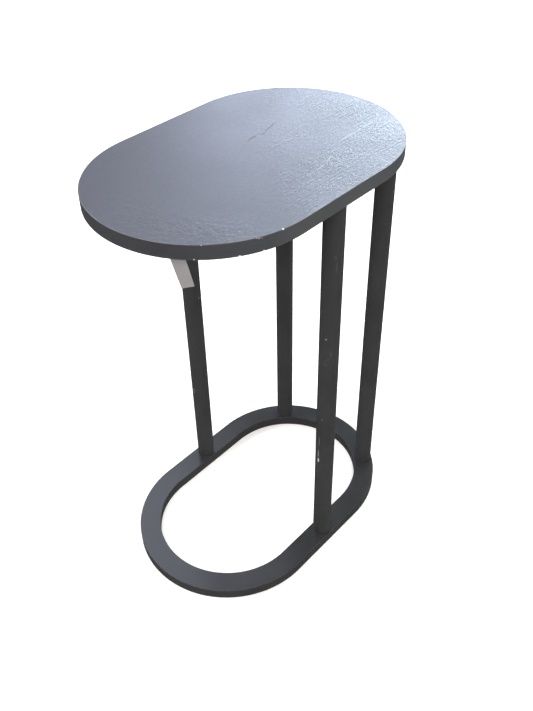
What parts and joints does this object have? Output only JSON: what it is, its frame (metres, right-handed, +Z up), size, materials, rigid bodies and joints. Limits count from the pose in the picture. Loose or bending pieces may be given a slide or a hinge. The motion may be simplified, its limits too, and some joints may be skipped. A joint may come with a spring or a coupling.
{
  "type": "c shaped side table",
  "caption": "Free-standing side table: an oval wooden top on round posts over an open oval floor ring, open at one end so that it slides over a seat.",
  "frame": {"origin": "on the floor, under the middle of the oval top", "axes": "+X along the oval to the closed end with the rear posts, +Y across it to the left, +Z up"},
  "size_m": [0.4498, 0.3, 0.64],
  "materials": {
    "top_wood": "black stained wood, grain along the oval, satin lacquer, chipped along the edge",
    "frame_coat": "charcoal powder coat, satin, lightly scuffed",
    "zinc_steel": "zinc plated steel",
    "glide_plastic": "moulded black plastic",
    "tag_paper": "plain uncoated paper"
  },
  "bodies": {
    "root": {"table_top": "top_wood", "base_ring": "frame_coat", "paper_tag": "tag_paper", "middle_left_post": "frame_coat", "middle_right_post": "frame_coat", "rear_left_post": "frame_coat", "rear_right_post": "frame_coat", "middle_left_top_plug": "zinc_steel", "middle_right_top_plug": "zinc_steel", "rear_left_top_plug": "zinc_steel", "rear_right_top_plug": "zinc_steel", "middle_left_foot_plug": "zinc_steel", "middle_right_foot_plug": "zinc_steel", "rear_left_foot_plug": "zinc_steel", "rear_right_foot_plug": "zinc_steel", "threaded_inserts": "zinc_steel", "post_studs": "zinc_steel", "base_bolts": "zinc_steel", "spring_washers": "zinc_steel", "flat_washers": "zinc_steel", "middle_left_glide": "glide_plastic", "middle_right_glide": "glide_plastic", "rear_left_glide": "glide_plastic", "rear_right_glide": "glide_plastic", "front_left_glide": "glide_plastic", "front_right_glide": "glide_plastic"}
  },
  "joints": []
}
